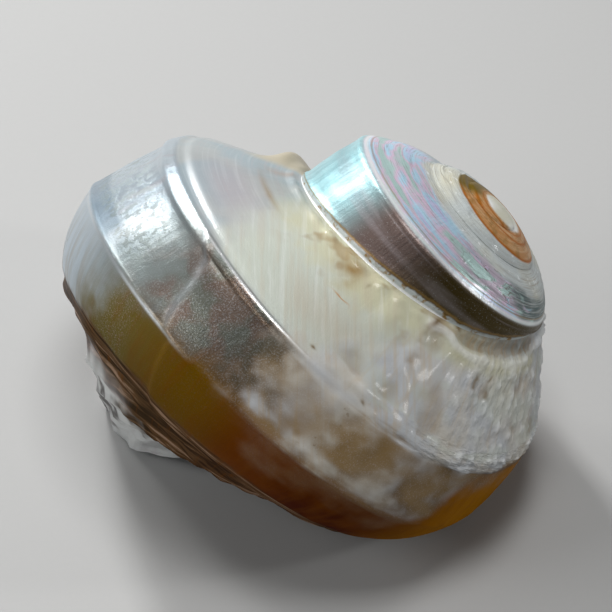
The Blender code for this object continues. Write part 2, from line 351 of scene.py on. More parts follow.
# Relief of the wall
OLD_LIP_SECTIONS = (1.6, 1.85, 2.15, 2.7, 3.05, 3.4, 3.8)
OLD_LIP_TURNS = (0.130, 0.140, 0.158, 0.172, 0.180, 0.186, 0.190)
LEDGE = (0.31, 0.35, 0.45, 0.48)       # turns where the ledge under the older whorl starts and ends
BAND_MIDDLE, BAND_HALF_WIDTH, BAND_DIP = 1.73, 0.11, 0.12
OLDER_KEEL, THIN_KEEL, SHOULDER_CORD = 1.70, 1.66, 2.90
BASE_CORDS = 6.0                       # in one section


def growth_noise(turn, number, per_turn, per_section, seed=0.0):
    """Smooth noise in growth coordinates, -1 to 1."""
    return np.array([
        noise.noise(Vector((t * per_turn + seed, n * per_section, seed)))
        for t, n in zip(turn.tolist(), number.tolist())
    ])


def old_lip(number):
    """Turn of the old lip that stands as a step on the side of the last whorl."""
    return np.interp(number, OLD_LIP_SECTIONS, OLD_LIP_TURNS)


def keel_ridge(turn, number, last):
    """A flat band on the newest part of the keel and a thin ridge on the rest."""
    broad = last * rise(turn, 0.19, 0.11)
    dipped = 1.0 + BAND_DIP * ((number - BAND_MIDDLE) / BAND_HALF_WIDTH) ** 2
    band = within(number, 1.46, 1.60, 1.86, 1.99) * dipped
    thin = (1.0 - last) * swell(number, OLDER_KEEL, 0.17)
    thin += 0.5 * last * (1.0 - broad) * swell(number, THIN_KEEL, 0.09)
    return 0.65 * band * broad + thin


def base_cords(turn, number):
    """Wavy cords and wrinkles that die out at both edges of the base."""
    wave = number * BASE_CORDS + 0.5 * growth_noise(turn, number, 9.0, 1.0, 3.0)
    cords = np.sin(2 * math.pi * wave) + growth_noise(turn, number, 40.0, 12.0, 8.0)
    return within(number, 3.45, 3.85, 4.7, 4.95) * cords


def spiral_cords(turn, number, settings):
    """The keel, the weak cords and the groove beside it, the shoulder's cord and the base's."""
    size = keel_radius(turn) / KEEL_RADIUS
    last = rise(turn, 0.98, 0.9)
    worn = 1.0 - 0.9 * within(turn, 0.235, 0.265, 0.6, 0.75)
    height = keel_ridge(turn, number, last) * size * worn
    height -= 0.25 * swell(number, 2.03, 0.07) * rise(turn, 0.24, 0.15) * last
    height += (0.9 - 0.8 * last) * swell(number, 2.20, 0.16) * size
    height += 0.35 * swell(number, 1.30, 0.09) * last * rise(turn, 0.2, 0.12)
    shoulder = swell(number, SHOULDER_CORD, 0.16) * last * worn
    cords = settings.keel_ridge * height + settings.side_cord * shoulder
    return cords + settings.base_cord * base_cords(turn, number)


def chalk_lumps(turn, number, settings):
    """Low clouds and elongated knobs of the worn white patch."""
    patch = within(turn, 0.225, 0.27, 0.6, 0.72) * rise(number, 2.9, 2.3)
    clouds = growth_noise(turn, number, 34.0, 2.6, 11.0) + 0.5 * growth_noise(turn, number, 70.0, 5.0, 12.0)
    knobs = np.maximum(growth_noise(turn, number, 125.0, 11.0, 13.0), 0.0)
    knobs *= rise(turn, 0.33, 0.39) * rise(number, 2.2, 1.6)
    nodules = np.maximum(growth_noise(turn, number, 150.0, 2.0, 17.0), 0.0)
    nodules *= swell(number, 1.35, 0.22) * rise(turn, 0.28, 0.35)
    hollow = swell(number, 0.09, 0.06) * within(turn, *LEDGE)
    return patch * settings.chalk_lump * (0.9 * clouds + 1.5 * knobs + 1.7 * nodules - 1.2 * hollow)


def suture_rim(turn, number, settings):
    """The uneven thick edge of a whorl where it laps the one before, and that one's pale selvage."""
    uneven = 0.7 + 0.9 * growth_noise(turn, number, 60.0, 3.0, 21.0)
    crest = 0.10 + 0.12 * within(turn, *LEDGE)
    edge = swell(number, crest, 0.05) * uneven * rise(turn, 0.9, 0.8)
    selvage = 0.4 * swell(covered_section(turn) - number, 0.10, 0.05) * within(turn, 0.9, 1.0, 1.8, 2.2)
    return settings.suture_edge * (edge + selvage)


def worn_spire(turn, number, settings):
    """Thin torn layers on the ramps of the spire."""
    ramp = rise(number, 1.35, 1.1) * within(turn, 1.2, 1.35, 1.9, 2.6)
    layers = number * 3.0 + 1.6 * growth_noise(turn, number, 8.0, 1.5, 31.0) + turn * 2.5
    step = smooth_step((layers - np.floor(layers)) * 3.0) - (layers - np.floor(layers))
    return settings.torn_layer * ramp * step


def growth_step(turn, number, settings):
    """The old lip, steep on its newer side and fading out on the older."""
    step = old_lip(number)
    worn = within(number, 1.5, 1.9, 3.6, 4.0) * rise(turn, 0.98, 0.9)
    edge = rise(turn, step - 0.005, step + 0.001) - rise(turn, step, step + 0.09)
    return settings.growth_step * worn * edge


def relief(turn, number, settings):
    """How far the wall stands out of its smooth form, in metres."""
    parts = (spiral_cords, chalk_lumps, suture_rim, worn_spire, growth_step)
    height = sum(part(turn, number, settings) for part in parts)
    clear_of_seams = rise(number, 0.0, 0.05) * rise(covered_section(turn) - number, 0.0, 0.05)
    return height * clear_of_seams


# Building the mesh from grids of turn and row
def add_grid(bm, turns, rows, steps, across, material=0):
    """A flat grid whose x is the turn and y the row, to be carried to its place later."""
    made = bmesh.ops.create_grid(bm, x_segments=steps, y_segments=across, size=0.5)
    verts = made["verts"]
    bmesh.ops.scale(bm, vec=(turns[1] - turns[0], rows[1] - rows[0], 1.0), verts=verts)
    middle = ((turns[0] + turns[1]) / 2, (rows[0] + rows[1]) / 2, 0.0)
    bmesh.ops.translate(bm, vec=middle, verts=verts)
    for face in dict.fromkeys(face for vert in verts for face in vert.link_faces):
        face.material_index = material
    return verts


def halve_edges(bm, chosen):
    """Cut the edges whose two ends are both chosen, so that they meet a finer grid."""
    edges = [edge for edge in bm.edges if all(chosen(vert.co.x, vert.co.y) for vert in edge.verts)]
    bmesh.ops.subdivide_edges(bm, edges=edges, cuts=1, use_grid_fill=False)


def wall_grids(bm):
    """The spire, coarser but for the two edges that meet the last two whorls, then those and the base."""
    spire = int(round((APEX_TURN - SPIRE_TURN) * SPIRE_STEPS))
    add_grid(bm, (SPIRE_TURN, APEX_TURN), (0.0, SUTURE_ROW), spire, SUTURE_ROW // 2)
    near = AT_EDGE / STEPS
    halve_edges(bm, lambda turn, row: turn < SPIRE_TURN + near)
    halve_edges(bm, lambda turn, row: row > SUTURE_ROW - near and turn < SPIRE_TURN + 1.0 + near)
    fine = int(round((SPIRE_TURN - LIP_TURN) * STEPS))
    add_grid(bm, (LIP_TURN, SPIRE_TURN), (0.0, SUTURE_ROW), fine, SUTURE_ROW)
    add_grid(bm, (LIP_TURN, BASE_TURN), (SUTURE_ROW, LAST_ROW), STEPS, BASE_ROWS)


def outer_wall(settings, table, ends):
    bm = bmesh.new()
    wall_grids(bm)
    growth = bm.loops.layers.uv.new("growth")
    seams = bm.loops.layers.uv.new("seams")
    marks = bm.loops.layers.uv.new("marks")
    grid = np.array([vert.co[:2] for vert in bm.verts], float)
    rows = grid[:, 1]
    turn = leaning_turn(grid[:, 0], np.interp(rows, np.arange(LAST_ROW + 1), ends))
    number = row_number(rows, turn)
    raised = relief(turn, number, settings)
    place = wall_point(turn, number) + outward(turn, number) * raised[:, None]
    from_old_lip = turn - old_lip(number)
    to_seam = covered_section(turn) - number
    from_axis = np.abs(section_point(turn, number)[:, 0]) * CM
    at_lip = (grid[:, 0] < LIP_TURN + AT_EDGE / STEPS) & (rows <= LAST_ROW - TIP_ROWS)
    place[at_lip, 2] = table
    bm.verts.index_update()
    for face in bm.faces:
        for loop in face.loops:
            i = loop.vert.index
            loop[growth].uv = (turn[i], number[i])
            loop[seams].uv = (to_seam[i], from_axis[i])
            loop[marks].uv = (from_old_lip[i], raised[i] * MM)
    for vert, point in zip(bm.verts, place.tolist()):
        vert.co = point
    bmesh.ops.remove_doubles(bm, verts=bm.verts, dist=WELD)
    bmesh.ops.dissolve_degenerate(bm, edges=bm.edges, dist=WELD)
    return bm


def inner_wall(bm, table):
    """The room behind the lip, as a second skin."""
    lines = LAST_ROW + 1 + BASE_ROWS
    mouth_lines = LAST_ROW - TIP_ROWS
    ends = np.empty(lines)
    ends[:mouth_lines] = reach(room_point, mouth_lines, table)
    drawn_back = lines - mouth_lines
    share = np.arange(1, drawn_back + 1) / (drawn_back + 1)
    ends[mouth_lines:] = ends[mouth_lines - 1] + (ends[0] - ends[mouth_lines - 1]) * share
    steps = int(round((ROOM_DEPTH - LIP_TURN) * ROOM_STEPS))
    verts = add_grid(bm, (LIP_TURN, ROOM_DEPTH), (0.0, lines), steps, lines, material=1)
    grid = np.array([vert.co[:2] for vert in verts], float)
    line = np.round(grid[:, 1]).astype(int) % lines
    turn = leaning_turn(grid[:, 0], ends[line])
    place = room_point(turn, line)
    at_lip = (grid[:, 0] < LIP_TURN + AT_EDGE / ROOM_STEPS) & (line < mouth_lines)
    place[at_lip, 2] = table
    for vert, point in zip(verts, place.tolist()):
        vert.co = point
    bmesh.ops.remove_doubles(bm, verts=verts, dist=WELD)


def open_loops(bm):
    """The closed chains of vertices round each opening, longest first, in the same order on every run."""
    left = dict.fromkeys(edge for edge in bm.edges if edge.is_boundary)
    loops = []
    while left:
        edge, _ = left.popitem()
        loop = list(edge.verts)
        while loop[-1] is not loop[0]:
            edge = next(other for other in loop[-1].link_edges if other in left)
            del left[edge]
            loop.append(edge.other_vert(loop[-1]))
        loops.append(loop[:-1])
    return sorted(loops, key=len, reverse=True)


def started_at(loop, point):
    first = min(range(len(loop)), key=lambda i: (loop[i].co - point).length)
    return loop[first:] + loop[:first]


def lace(bm, outer, inner):
    """Join two loops that start side by side, always along the shorter diagonal."""
    outer, inner = outer + outer[:1], inner + inner[:1]
    i, j = 0, 0
    while i + 1 < len(outer) or j + 1 < len(inner):
        along_outer = along_inner = math.inf
        if i + 1 < len(outer):
            along_outer = (outer[i + 1].co - inner[j].co).length
        if j + 1 < len(inner):
            along_inner = (inner[j + 1].co - outer[i].co).length
        if along_outer < along_inner:
            face = bm.faces.new((outer[i], outer[i + 1], inner[j]))
            i += 1
        else:
            face = bm.faces.new((outer[i], inner[j + 1], inner[j]))
            j += 1
        face.material_index = 1


def close_room(bm):
    """Cap the room's inner end and lace its mouth to the lip."""
    lip, *others = open_loops(bm)
    lip_height = min(vert.co.z for vert in lip)
    mouth = min(others, key=lambda loop: min(vert.co.z for vert in loop) - lip_height)
    inner_end = next(loop for loop in others if loop is not mouth)
    bm.faces.new(inner_end).material_index = 1
    corner_of_lip = Vector(wall_point(np.array([LIP_TURN]), np.array([0.0]))[0])
    lip = started_at(lip, corner_of_lip)
    mouth = started_at(mouth, lip[0].co)
    quarter = len(mouth) // 4
    ahead = lip[len(lip) // 8].co
    if (mouth[quarter].co - ahead).length > (mouth[-quarter].co - ahead).length:
        mouth = mouth[:1] + mouth[:0:-1]
    lace(bm, lip, mouth)


def wear_flat_spot(bm, table):
    """Cut off what hangs below the table, which is only the belly of the last whorl."""
    low = [face for face in bm.faces if min(vert.co.z for vert in face.verts) < table - WELD]
    around = dict.fromkeys(item for face in low for item in (*face.edges, *face.verts))
    cut = bmesh.ops.bisect_plane(
        bm, geom=low + list(around), dist=WELD, plane_co=(0.0, 0.0, table),
        plane_no=(0.0, 0.0, -1.0), clear_outer=True,
    )
    rim = [item for item in cut["geom_cut"] if isinstance(item, bmesh.types.BMEdge)]
    bmesh.ops.holes_fill(bm, edges=[edge for edge in rim if edge.is_boundary])
    bmesh.ops.dissolve_degenerate(bm, edges=bm.edges, dist=WELD)


def grow_shell(settings):
    table = table_height()
    bm = outer_wall(settings, table, lip_ends(table))
    inner_wall(bm, table)
    close_room(bm)
    bmesh.ops.recalc_face_normals(bm, faces=bm.faces)
    wear_flat_spot(bm, table)
    corners = np.array([vert.co for vert in bm.verts])
    middle = (corners.min(0) + corners.max(0)) / 2.0
    cad = (CAD_LOW + CAD_HIGH) / 2.0
    bmesh.ops.translate(bm, vec=(cad.x - middle[0], cad.y - middle[1], CAD_LOW.z - table), verts=bm.verts)
    mesh = bpy.data.meshes.new("shell_surface")
    bm.to_mesh(mesh)
    bm.free()
    mesh.shade_smooth()
    return mesh


# Materials
STAINS = (                             # turn, section, their widths, strength and colour
    (0.325, 0.03, 0.0060, 0.10, 0.9, "pit"),
    (0.297, 0.20, 0.0060, 0.08, 0.85, "brown"),
    (0.298, 0.46, 0.0060, 0.07, 0.55, "chalk_tan"),
    (0.372, 0.33, 0.0040, 0.05, 0.8, "pit"),
    (0.392, 0.42, 0.0040, 0.05, 0.7, "pit"),
    (0.218, 0.07, 0.0022, 0.05, 0.9, "pit"),
    (0.195, 0.22, 0.0130, 0.14, 0.9, "cream_tan"),
    (0.236, 1.25, 0.0022, 0.05, 0.9, "pit"),
    (0.287, 1.60, 0.0022, 0.06, 0.9, "pit"),
    (0.215, 0.50, 0.0080, 0.018, 0.9, "lens"),
    (0.020, 0.25, 0.0120, 0.20, 0.35, "lens"),
    (0.252, 1.72, 0.0160, 0.30, 0.8, "chalk"),
    (0.275, 1.80, 0.0160, 0.22, 0.6, "chalk"),
    (0.330, 2.45, 0.0100, 0.16, 0.5, "warm_chalk"),
    (0.268, 2.32, 0.0120, 0.16, 0.6, "chalk_tan"),
    (0.322, 1.98, 0.0150, 0.12, 0.6, "chalk_tan"),
)


class Hue:
    """One value or colour of a material's nodes; it adds, multiplies and blends like a number."""

    def __init__(self, tree, socket=None):
        self.tree, self.socket = tree, socket

    def node(self, kind, inputs, output=0, stops=(), **settings):
        """Any node: its settings and ramp stops first, then its inputs."""
        made = self.tree.nodes.new(kind)
        for name, value in settings.items():
            setattr(made, name, value)
        for i, (position, colour) in enumerate(stops):
            stop = made.color_ramp.elements[i] if i < 2 else made.color_ramp.elements.new(position)
            stop.position, stop.color = position, (*colour, 1.0)
        for place, value in inputs.items():
            if isinstance(value, Hue):
                self.tree.links.new(value.socket, made.inputs[place])
            else:
                made.inputs[place].default_value = value
        return Hue(self.tree, made.outputs[output])

    def maths(self, operation, *values):
        return self.node("ShaderNodeMath", dict(enumerate(values)), operation=operation)

    def __add__(self, other):
        return self.maths("ADD", self, other)

    def __sub__(self, other):
        return self.maths("SUBTRACT", self, other)

    def __rsub__(self, other):
        return self.maths("SUBTRACT", other, self)

    def __mul__(self, other):
        return self.maths("MULTIPLY", self, other)

    __radd__, __rmul__ = __add__, __mul__

    def rise(self, low, high):
        """0 below low, 1 above high; the other way round where low is the larger."""
        inputs = {"Value": self, "From Min": low, "From Max": high}
        return self.node("ShaderNodeMapRange", inputs, interpolation_type="SMOOTHSTEP")

    def within(self, low, full, falling, high):
        """1 from full to falling, easing to 0 at low and at high."""
        return self.rise(low, full) * self.rise(high, falling)

    def swell(self, middle, width):
        """1 at the middle, fading to 0 over a few widths."""
        off = (self - middle) * (1.0 / width)
        return self.maths("EXPONENT", off * off * -1.0)

    def sine(self):
        return self.maths("SINE", self)

    def over(self, below, above):
        """The colour above laid over the one below, as thick as this value."""
        colours = [value if isinstance(value, Hue) else (*value, 1.0) for value in (below, above)]
        inputs = {0: self, 6: colours[0], 7: colours[1]}
        return self.node("ShaderNodeMix", inputs, 2, data_type="RGBA", clamp_factor=True)

    def cloud(self, scale, detail=3.0, roughness=0.55, distortion=0.0):
        """Noise over this vector, 0 to 1."""
        inputs = {"Vector": self, "Scale": scale, "Detail": detail}
        return self.node("ShaderNodeTexNoise", inputs | {"Roughness": roughness, "Distortion": distortion})


def layered(colour, *layers):
    """A colour under layers, each given as its thickness and its colour."""
    for thickness, above in layers:
        colour = thickness.over(colour, above)
    return colour


def blank_material(name):
    """A material with only its finish and output; returns it, its finish and a start for nodes."""
    material = bpy.data.materials.new(name)
    material.use_nodes = True
    return material, material.node_tree.nodes["Principled BSDF"], Hue(material.node_tree)


def object_place(start):
    return start.node("ShaderNodeTexCoord", {}, 3)


def uv_pair(start, name):
    flat = start.node("ShaderNodeUVMap", {}, uv_map=name)
    return [flat.node("ShaderNodeSeparateXYZ", {0: flat}, i) for i in (0, 1)]


def stretched(turn, number, per_turn, per_section, shift=0.0):
    """Growth coordinates as a vector, so that noise over it runs along or across the whorl."""
    return turn.node("ShaderNodeCombineXYZ", {0: turn * per_turn, 1: number * per_section, 2: shift})


def finish(bsdf, **inputs):
    for name, value in inputs.items():
        socket = bsdf.inputs[name.replace("_", " ")]
        if isinstance(value, Hue):
            value.tree.links.new(value.socket, socket)
        else:
            socket.default_value = value


class Wall:
    """What the finish follows: where the wall grew, its seams, its relief, clouds of noise and its zones."""

    def __init__(self, start):
        self.turn, self.number = uv_pair(start, "growth")
        self.to_seam, self.from_axis = uv_pair(start, "seams")
        self.from_old_lip, self.raised = uv_pair(start, "marks")
        self.add_clouds(object_place(start))
        self.add_whorls()
        self.add_zones()

    def along(self, per_turn, per_section, shift, detail=3.0, roughness=0.5, distortion=0.0):
        """Noise that runs with the growth, finer the larger its two rates."""
        place = stretched(self.turn, self.number, per_turn, per_section, shift)
        return place.cloud(1.0, detail, roughness, distortion)

    def add_clouds(self, place):
        across, back, up = [place.node("ShaderNodeSeparateXYZ", {0: place}, i) for i in range(3)]
        self.broad = place.cloud(70.0, 2.0)
        self.patchy = place.cloud(190.0, 2.0, 0.5)
        self.grain = place.cloud(3600.0, 2.0, 0.7)
        self.dust = place.cloud(600.0, 3.0, 0.65)
        self.brushed = stretched(across, 0.67 * back + 0.74 * up, 800.0, 60.0, 5.0).cloud(1.0, 3.0, 0.6)
        self.growth_lines = self.along(130.0, 1.6, 0.0, 4.0, 0.62)
        self.spiral_lines = self.along(6.0, 6.0, 0.0)
        self.fine_spirals = self.along(7.0, 16.0, 3.0, 3.0, 0.55)
        self.layer_lines = self.along(9.0, 12.0, 4.0, 3.0, 0.5, 0.8)
        self.fine_layers = self.along(10.0, 30.0, 17.0, 3.0, 0.6, 0.5)
        self.drifts = self.along(18.0, 2.6, 7.0)
        self.wrinkles = self.along(11.0, 20.0, 9.0, 4.0, 0.65, 0.4)
        self.wavy_turn = self.turn + (self.patchy - 0.5) * 0.05
        self.wavy_number = self.number + (self.patchy - 0.5) * 0.7 + (self.broad - 0.5) * 0.6

    def add_whorls(self):
        self.older = self.turn.rise(0.93, 0.98)
        self.last = 1.0 - self.older
        self.ramp = self.number.rise(1.62, 1.52)
        self.side = 1.0 - self.ramp
        self.base = (self.number + (self.patchy - 0.5) * 0.25).rise(3.50, 3.62)

    def add_zones(self):
        turn, number, last = self.turn, self.number, self.last
        wavy_turn, wavy_number = self.wavy_turn, self.wavy_number
        broad, patchy, dust = self.broad - 0.5, self.patchy - 0.5, self.dust - 0.5
        # real blue grey nacre above the shoulder cord, painted darker as shade to dim the lamp's reflection
        # there
        self.steel_shade = number.within(2.34, 2.44, 2.70, 2.80) * turn.rise(0.16, 0.08) * last
        self.pits = self.dust.rise(0.58, 0.66) * self.growth_lines.rise(0.50, 0.58)
        self.pits = self.pits * self.broad.rise(0.45, 0.55) * turn.rise(0.07, 0.02) * number.rise(1.2, 1.7)
        self.blotches = self.dust.rise(0.46, 0.58) * number.within(1.98, 2.1, 2.45, 2.60)
        self.blotches = self.blotches * turn.rise(0.14, 0.10) * last
        self.dusky = last * self.side * wavy_turn.rise(0.115, 0.165) * turn.rise(0.62, 0.5)

        # The amber starts higher up the side the further round it is, and the chalk ends higher up
        narrow = turn.rise(0.37, 0.43)
        top = 3.45 - 0.60 * turn.rise(0.08, 0.15) - 0.30 * turn.rise(0.17, 0.23)
        top = top - 0.65 * turn.rise(0.36, 0.43)
        self.amber = last * (wavy_number - top).rise(-0.35, 0.35)
        self.amber = self.amber * turn.rise(0.045, 0.115) * wavy_turn.rise(0.78, 0.58)
        self.cream = last * self.ramp * turn.within(0.02, 0.15, 0.45, 0.55)
        self.cream = self.cream * (wavy_number - 1.6 * turn.rise(0.05, 0.19)).rise(0.75, -0.35)
        start = 0.228 + 0.055 * number.rise(1.3, 0.2)
        self.chalk = last * (turn + patchy * 0.05 + broad * 0.04 - start).rise(-0.014, 0.020)
        above_edge = 3.05 - 1.30 * narrow - number - patchy * 0.4
        above_edge = above_edge - (self.drifts - 0.5) * (1.5 - 0.9 * narrow)
        self.chalk = self.chalk * turn.rise(0.78, 0.66) * above_edge.rise(-0.28, 0.25)

        self.from_seam = self.to_seam + 0.05 * turn.rise(1.27, 1.33)
        self.selvage = (self.from_seam + dust * 0.04).rise(0.10, 0.07)
        self.round_apex = (self.from_axis + patchy * 0.25).rise(1.66, 1.50)
        self.lens_reach = self.from_axis + broad * 0.10


def silver_nacre(wall, colours):
    """Silver, paler and streaked on the ramp with a painted highlight on its weak cord, blue grey above the
    shoulder where it is painted darker as shade, smoky towards the olive.
    """
    turn, number, growth_lines = wall.turn, wall.number, wall.growth_lines
    pale = layered(
        wall.broad.rise(0.40, 0.60).over(colours.ramp_silver, colours.ramp_blue),
        (number.swell(0.85, 0.35) * turn.rise(0.0, 0.08) * 0.7, colours.lilac),
        (wall.fine_spirals.rise(0.50, 0.66) * 0.35, colours.lilac),
        (wall.fine_spirals.rise(0.50, 0.30) * 0.14, colours.bright),
        # painted highlight: a bright spot on the ramp's weak cord
        (number.swell(1.36, 0.06) * turn.swell(0.08, 0.035) * 0.8, colours.bright),
        (number.swell(0.46, 0.04) * turn.swell(0.095, 0.05) * 0.6, colours.cream_tan),
    )
    below_shoulder = growth_lines.rise(0.4, 0.6).over(colours.grey_edge, colours.blue_silver)
    return layered(
        wall.broad.over(colours.silver, colours.blue_silver),
        (growth_lines.rise(0.50, 0.68) * 0.4, colours.lilac),
        (wall.ramp * wall.last, pale),
        (number.rise(2.9, 3.3) * wall.last * 0.6, below_shoulder),
        (wall.steel_shade * 0.75, colours.steel_shade),
        (wall.side * wall.last * turn.rise(0.06, 0.13) * 0.75, colours.smoke),
        (wall.pits * 0.55, colours.pit),
        (wall.blotches * 0.5, colours.smoke),
    )


def dusky_nacre(wall, colours):
    """The dark layers of the last whorl's side, speckled as fine as dust."""
    return layered(
        wall.patchy.rise(0.42, 0.60).over(colours.graphite, colours.plum),
        (wall.number.rise(2.35, 2.75) * 0.7, colours.plum),
        (wall.turn.rise(0.20, 0.235) * 0.8, colours.brown),
        (wall.grain.rise(0.46, 0.70) * 0.34, colours.silver),
    )


def amber_layers(wall, colours):
    """Olive, then amber and red brown towards the base."""
    turn, grain = wall.turn, wall.grain
    red = turn.within(0.26, 0.33, 0.36, 0.43) * (wall.wavy_number - 3.3).rise(-0.25, 0.35)
    return layered(
        turn.rise(0.14, 0.20).over(colours.olive, colours.olive_amber),
        ((0.6 - turn.rise(0.17, 0.10)) * grain.rise(0.5, 0.68), colours.brown),
        (turn.within(0.09, 0.14, 0.14, 0.16) * grain.rise(0.50, 0.72) * 0.35, colours.lilac),
        (turn.rise(0.21, 0.26), colours.amber_brown),
        (red, colours.red_brown),
        (turn.rise(0.36, 0.44), colours.amber),
        (wall.growth_lines.rise(0.42, 0.7) * 0.35, colours.amber_streak),
    )


def cream_ramp(wall, colours):
    """Grey cream, yellower by the suture, with fine brushed streaks."""
    turn, number, patchy = wall.turn, wall.number, wall.patchy
    yellow = (number + (patchy - 0.5) * 0.9).rise(0.65, 0.15) * (0.55 + 0.45 * wall.broad)
    return layered(
        yellow.over(colours.grey_cream, colours.cream),
        (wall.brushed.rise(0.46, 0.66) * 0.28, colours.cream_pink),
        (wall.brushed.rise(0.46, 0.34) * 0.16, colours.bright),
        (number.swell(0.85, 0.25) * turn.rise(0.17, 0.22) * 0.35, colours.cream_pink),
        (patchy.rise(0.56, 0.68) * number.rise(0.75, 0.2) * 0.6, colours.cream_tan),
    )


def chalk_clouds(wall, colours, cream, amber):
    """White chalk over the keel and the side: milky clouds thinning out over brown."""
    turn, number, raised, drifts = wall.turn, wall.number, wall.raised, wall.drifts
    milk = (wall.patchy - 0.5) * 1.6 + (drifts - 0.5) * 2.6
    milk = milk + (2.08 - 0.22 * turn.rise(0.29, 0.33) - number) * 1.6
    milk = (milk + raised * 0.5 + 0.5 * number.rise(2.1, 2.6)).rise(-0.70, 0.50)
    chalk = layered(
        wall.broad.rise(0.40, 0.60).over(colours.chalk, colours.warm_chalk),
        (wall.growth_lines.rise(0.50, 0.68) * number.rise(1.75, 1.4) * 0.45, colours.cream_pink),
        (wall.brushed.rise(0.46, 0.62) * turn.rise(0.36, 0.30) * 0.55, colours.cream_pink),
        (drifts.rise(0.46, 0.60) * number.rise(1.5, 1.2) * 0.5, colours.grey_cream),
        (number.rise(0.42, 0.05) * turn.rise(0.40, 0.30) * 0.8, cream),
        (number.swell(0.25, 0.09) * turn.within(0.30, 0.34, 0.46, 0.50) * 0.7, colours.cream),
        (raised.rise(0.06, 0.50) * 0.4, colours.bright),
        (raised.rise(-0.02, -0.25) * 0.35, colours.chalk_tan),
        (wall.dust.rise(0.64, 0.72) * wall.broad.rise(0.5, 0.62) * 0.5, colours.pit),
    )
    under_milk = layered(
        drifts.rise(0.40, 0.60).over(colours.chalk_tan, colours.brown),
        (wall.grain.rise(0.5, 0.7) * 0.25, colours.lilac),
        (number.rise(2.4, 3.0) * 0.7, amber),
    )
    return (0.08 + 0.92 * milk).over(under_milk, chalk)


def older_side(wall, colours):
    """The older whorl's side, from pale blue to graphite and olive, with its pale selvage; the pale blue is
    painted paler as a highlight at the top, and a darker line between its two highlight streaks is painted
    shade.
    """
    turn, dust, from_seam = wall.turn, wall.dust, wall.from_seam
    edging = layered(
        dust.rise(0.48, 0.66).over(colours.selvage, colours.cream_tan),
        (from_seam.rise(0.045, 0.02), colours.bright),
    )
    return layered(
        (wall.growth_lines.rise(0.42, 0.66) * 0.5).over(colours.sea_white_and_highlight, colours.sea_shade),
        # painted shade: a darker line between the two highlight streaks
        (wall.number.swell(2.08, 0.07) * 0.6, colours.sea_shade),
        (turn.rise(1.09, 1.17), colours.dark_silver),
        (wall.wavy_turn.rise(1.20, 1.28) * turn.rise(1.62, 1.5), colours.olive_silver),
        (turn.rise(1.5, 1.65), colours.silver),
        (wall.spiral_lines.rise(0.5, 0.7) * 0.25, colours.lilac),
        (wall.grain.rise(0.58, 0.75) * 0.3, colours.silver),
        (wall.selvage, edging),
        ((from_seam + (dust - 0.5) * 0.03).swell(0.105, 0.014) * 0.8, colours.cream_tan),
    )


def apex_ring(wall, colours):
    """Cream round the apex, with fine dark lines."""
    return layered(
        wall.broad.rise(0.35, 0.6).over(colours.ring, colours.selvage),
        (wall.fine_layers.rise(0.56, 0.70) * 0.45, colours.cream_tan),
        (wall.fine_spirals.swell(0.5, 0.025) * 0.4, colours.layer_edge),
        (wall.dust.rise(0.60, 0.68) * 0.5, colours.bright),
    )


def spire_ramp(wall, colours, ring):
    """Rainbow nacre with torn flakes, then grey layers, then the cream ring."""
    turn, number, layer_lines = wall.turn, wall.number, wall.layer_lines
    play = wall.along(8.0, 3.2, 2.0, 2.0, 0.45) * 1.2 + layer_lines * 0.12 + wall.patchy * 0.45 - 0.38
    rainbow = turn.node(
        "ShaderNodeValToRGB", {0: play + 0.10 * number},
        stops=(
            (0.30, colours.rainbow_pink), (0.70, colours.rainbow_green), (0.40, colours.rainbow_violet),
            (0.50, colours.rainbow_blue), (0.60, colours.rainbow_pink),
        ),
    )
    flakes = wall.along(26.0, 4.5, 15.0, 2.0, 0.5, 0.5)
    flaking = turn.within(1.22, 1.30, 1.42, 1.50) * number.rise(1.2, 1.0)
    grey_start = turn + (wall.broad - 0.5) * 0.1 + (flakes - 0.5) * 0.15 - number * 0.06
    grey = (wall.fine_layers.rise(0.46, 0.66) * 0.7).over(colours.teal, colours.selvage)
    return layered(
        rainbow,
        (layer_lines.within(0.56, 0.62, 0.64, 0.70) * turn.rise(1.20, 1.32) * 0.7, colours.layer_edge),
        (flaking * flakes.rise(0.52, 0.56), colours.flake),
        (flaking * flakes.swell(0.50, 0.012) * 0.9, colours.layer_edge),
        (grey_start.rise(1.31, 1.37) * turn.rise(1.9, 1.7), grey),
        (wall.fine_spirals.swell(0.52, 0.018) * 0.45, colours.layer_edge),
        (number.swell(1.33, 0.03) * 0.6, colours.cream_tan),
        (wall.round_apex, ring),
    )


def worn_apex(wall, colours):
    """The orange lens worn at the apex, with a pale heart and an olive far side."""
    dust, reach = wall.dust - 0.5, wall.lens_reach
    heart = wall.broad.rise(0.4, 0.6).over(colours.bright, colours.ring)
    far_side = (wall.turn * (2.0 * math.pi) + 2.0).sine()
    return layered(
        wall.layer_lines.rise(0.4, 0.65).over(colours.lens, colours.lens_pale),
        (reach.swell(0.66, 0.035) + reach.swell(0.97, 0.04), colours.lens_rim),
        (wall.dust.rise(0.46, 0.64) * 0.35, colours.lens_olive),
        ((reach + dust * 0.08).rise(0.46, 0.38), heart),
        ((reach + dust * 0.05).swell(0.50, 0.022) * 0.9, colours.lens_rim),
        (far_side.rise(0.35, 0.75) * reach.rise(0.40, 0.62), colours.lens_olive),
    )


